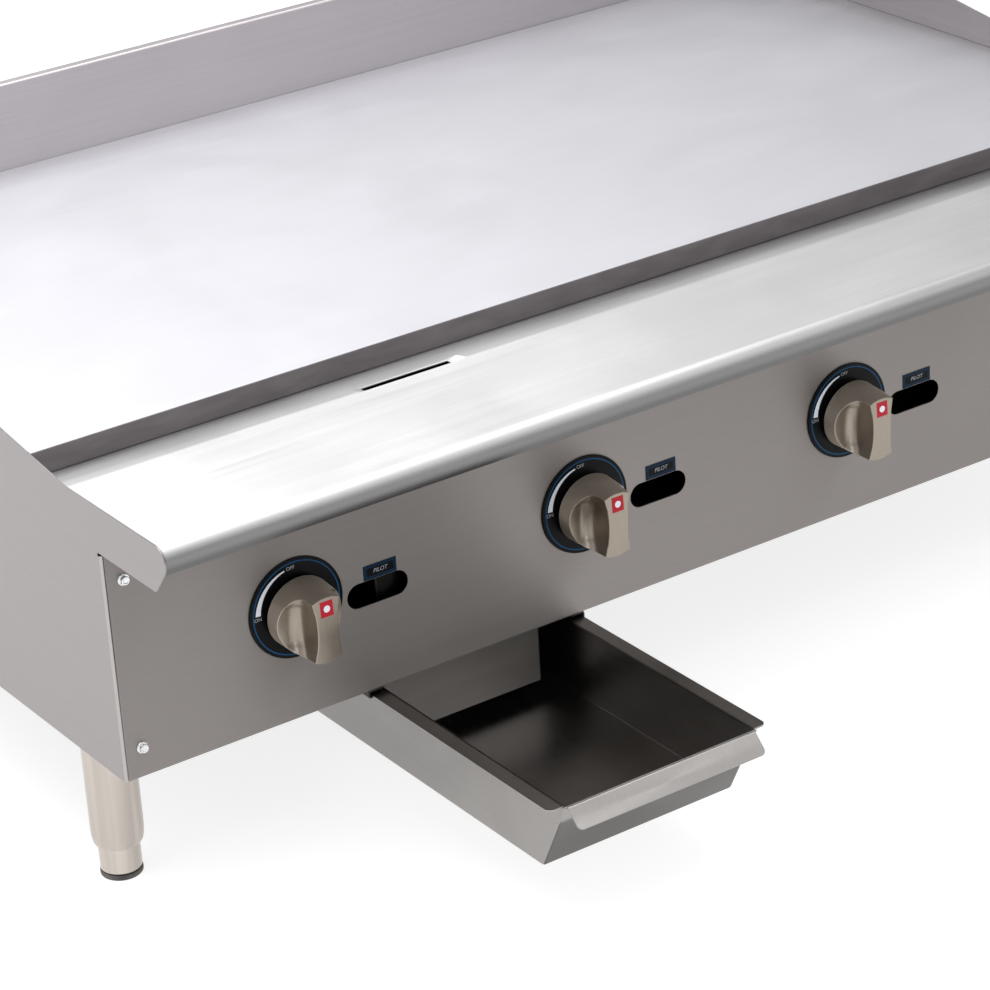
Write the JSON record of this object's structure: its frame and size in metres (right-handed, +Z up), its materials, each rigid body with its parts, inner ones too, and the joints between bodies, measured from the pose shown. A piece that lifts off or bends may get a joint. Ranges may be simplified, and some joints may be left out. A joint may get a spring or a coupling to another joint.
{
  "type": "flat top griddle",
  "caption": "Countertop gas griddle: a wide flat steel plate with low splash guards and a front grease trough, over burners set by front knobs, on short legs with a pull-out grease drawer.",
  "frame": {"origin": "middle of the footprint, on the counter under the foot pads", "axes": "+X to the right along the width as the cook sees it, +Y away from the cook to the rear, +Z up"},
  "size_m": [1.2196, 1.042, 0.47],
  "materials": {
    "plate_steel": "ground and lightly polished",
    "sheet_steel": "fine brushed",
    "tray_steel": "brushed, worn",
    "dark_steel": "matt black",
    "zinc_screw": "bright zinc plate",
    "knob_metal": "satin nickel plate",
    "knob_mark": "gloss red",
    "dial_black": "satin black",
    "leg_steel": "satin nickel plate",
    "rubber": "matt",
    "brass": "as cast and turned",
    "iron": "dark mill scale"
  },
  "bodies": {
    "root": {"griddle_plate": "plate_steel", "splash_rear": "sheet_steel", "splash_left": "sheet_steel", "splash_right": "sheet_steel", "front_ledge": "sheet_steel", "control_panel": "sheet_steel", "side_panel_left": "sheet_steel", "side_panel_right": "sheet_steel", "rear_panel": "sheet_steel", "panel_screw_1": "zinc_screw", "panel_screw_2": "zinc_screw", "panel_screw_3": "zinc_screw", "panel_screw_4": "zinc_screw", "grease_chute": "tray_steel", "base_pan": "dark_steel", "tray_rail_right": "dark_steel", "tray_rail_left": "dark_steel", "burner_rest_front": "dark_steel", "burner_rest_rear": "dark_steel", "manifold_pipe": "iron", "inlet_elbow": "iron", "gas_inlet_pipe": "iron", "knob_bezel_1": "dial_black", "gas_valve_1": "brass", "burner_1": "iron", "pilot_burner_1": "iron", "knob_bezel_2": "dial_black", "gas_valve_2": "brass", "burner_2": "iron", "pilot_burner_2": "iron", "knob_bezel_3": "dial_black", "gas_valve_3": "brass", "burner_3": "iron", "pilot_burner_3": "iron", "knob_bezel_4": "dial_black", "gas_valve_4": "brass", "burner_4": "iron", "pilot_burner_4": "iron", "leg_front_left": "leg_steel", "leg_front_right": "leg_steel", "leg_rear_left": "leg_steel", "leg_rear_right": "leg_steel"},
    "knob_1": {"knob_1": "knob_metal", "valve_stem_1": "brass"},
    "knob_2": {"knob_2": "knob_metal", "valve_stem_2": "brass"},
    "knob_3": {"knob_3": "knob_metal", "valve_stem_3": "brass"},
    "knob_4": {"knob_4": "knob_metal", "valve_stem_4": "brass"},
    "drip_tray": {"drip_tray": "tray_steel"},
    "foot_front_left": {"foot_front_left": "leg_steel", "foot_pad_front_left": "rubber"},
    "foot_front_right": {"foot_front_right": "leg_steel", "foot_pad_front_right": "rubber"},
    "foot_rear_left": {"foot_rear_left": "leg_steel", "foot_pad_rear_left": "rubber"},
    "foot_rear_right": {"foot_rear_right": "leg_steel", "foot_pad_rear_right": "rubber"}
  },
  "joints": [
    {"name": "knob_1_turn", "type": "hinge", "parent": "root", "child": "knob_1", "pos_m": [-0.43755, -0.24897, 0.2293], "axis": [0, -1, 0], "range_deg": [0, 90]},
    {"name": "knob_2_turn", "type": "hinge", "parent": "root", "child": "knob_2", "pos_m": [-0.14585, -0.24897, 0.2293], "axis": [0, -1, 0], "range_deg": [0, 90]},
    {"name": "knob_3_turn", "type": "hinge", "parent": "root", "child": "knob_3", "pos_m": [0.14585, -0.24897, 0.2293], "axis": [0, -1, 0], "range_deg": [0, 90]},
    {"name": "knob_4_turn", "type": "hinge", "parent": "root", "child": "knob_4", "pos_m": [0.43755, -0.24897, 0.2293], "axis": [0, -1, 0], "range_deg": [0, 90]},
    {"name": "drip_tray_slide", "type": "slide", "parent": "root", "child": "drip_tray", "axis": [0, -1, 0], "range_m": [-0.225, 0.045]},
    {"name": "foot_front_left_screw", "type": "slide", "parent": "root", "child": "foot_front_left", "axis": [0, 0, -1], "range_m": [0, 0.025]},
    {"name": "foot_front_right_screw", "type": "slide", "parent": "root", "child": "foot_front_right", "axis": [0, 0, -1], "range_m": [0, 0.025]},
    {"name": "foot_rear_left_screw", "type": "slide", "parent": "root", "child": "foot_rear_left", "axis": [0, 0, -1], "range_m": [0, 0.025]},
    {"name": "foot_rear_right_screw", "type": "slide", "parent": "root", "child": "foot_rear_right", "axis": [0, 0, -1], "range_m": [0, 0.025]}
  ]
}
